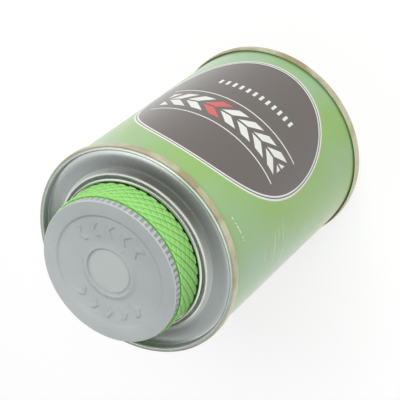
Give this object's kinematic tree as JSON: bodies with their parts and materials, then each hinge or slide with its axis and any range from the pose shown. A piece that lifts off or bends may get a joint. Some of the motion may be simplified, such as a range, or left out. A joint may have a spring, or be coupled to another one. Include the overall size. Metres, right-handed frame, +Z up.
{
  "type": "brush-in-cap cement tin",
  "caption": "Seamed tinplate can of patch cement with a screw neck and a ribbed cap whose hanging brush lifts out with it.",
  "frame": {"origin": "centre of the bottom seam's underside, where the tin stands", "axes": "+Z up along the tin's axis towards the cap; the label faces -Y, turned a little towards +X"},
  "size_m": [0.07, 0.07, 0.1006],
  "materials": {
    "printed_tinplate": "satin",
    "tinplate": "satin",
    "sealing_compound": "matte",
    "neck_tinplate": "satin",
    "rubber_cement": "gloss",
    "liner_board": "matte",
    "socket_steel": "satin",
    "stem_wire": "satin",
    "ferrule_tin": "satin",
    "bristle": "matte",
    "grey_cap": "satin",
    "green_band": "satin"
  },
  "bodies": {
    "can": {"can_body": "printed_tinplate", "bottom_end": "tinplate", "top_end": "tinplate", "bottom_seam_compound": "sealing_compound", "top_seam_compound": "sealing_compound", "neck_seal_ring": "sealing_compound", "threaded_neck": "neck_tinplate", "cement_fill": "rubber_cement"},
    "liner": {"cap_liner": "liner_board"},
    "brush": {"brush_socket": "socket_steel", "brush_stem": "stem_wire", "brush_ferrule": "ferrule_tin", "brush_bristles": "bristle"},
    "cap": {"cap_shell": "grey_cap", "grip_band": "green_band"}
  },
  "joints": [
    {"name": "lift_off", "type": "slide", "parent": "can", "child": "liner", "axis": [0, 0, 1], "range_m": [0, 0.1]},
    {"name": "cap_rise", "type": "slide", "parent": "liner", "child": "brush", "axis": [0, 0, 1], "range_m": [0, 0.005]},
    {"name": "cap_turn", "type": "hinge", "parent": "brush", "child": "cap", "pos_m": [0, 0, 0.095], "axis": [0, 0, 1], "range_deg": [0, 450]}
  ],
  "couplings": [
    {"joint": "cap_rise", "follows": "cap_turn", "m_per_rad": 0.00063662}
  ]
}
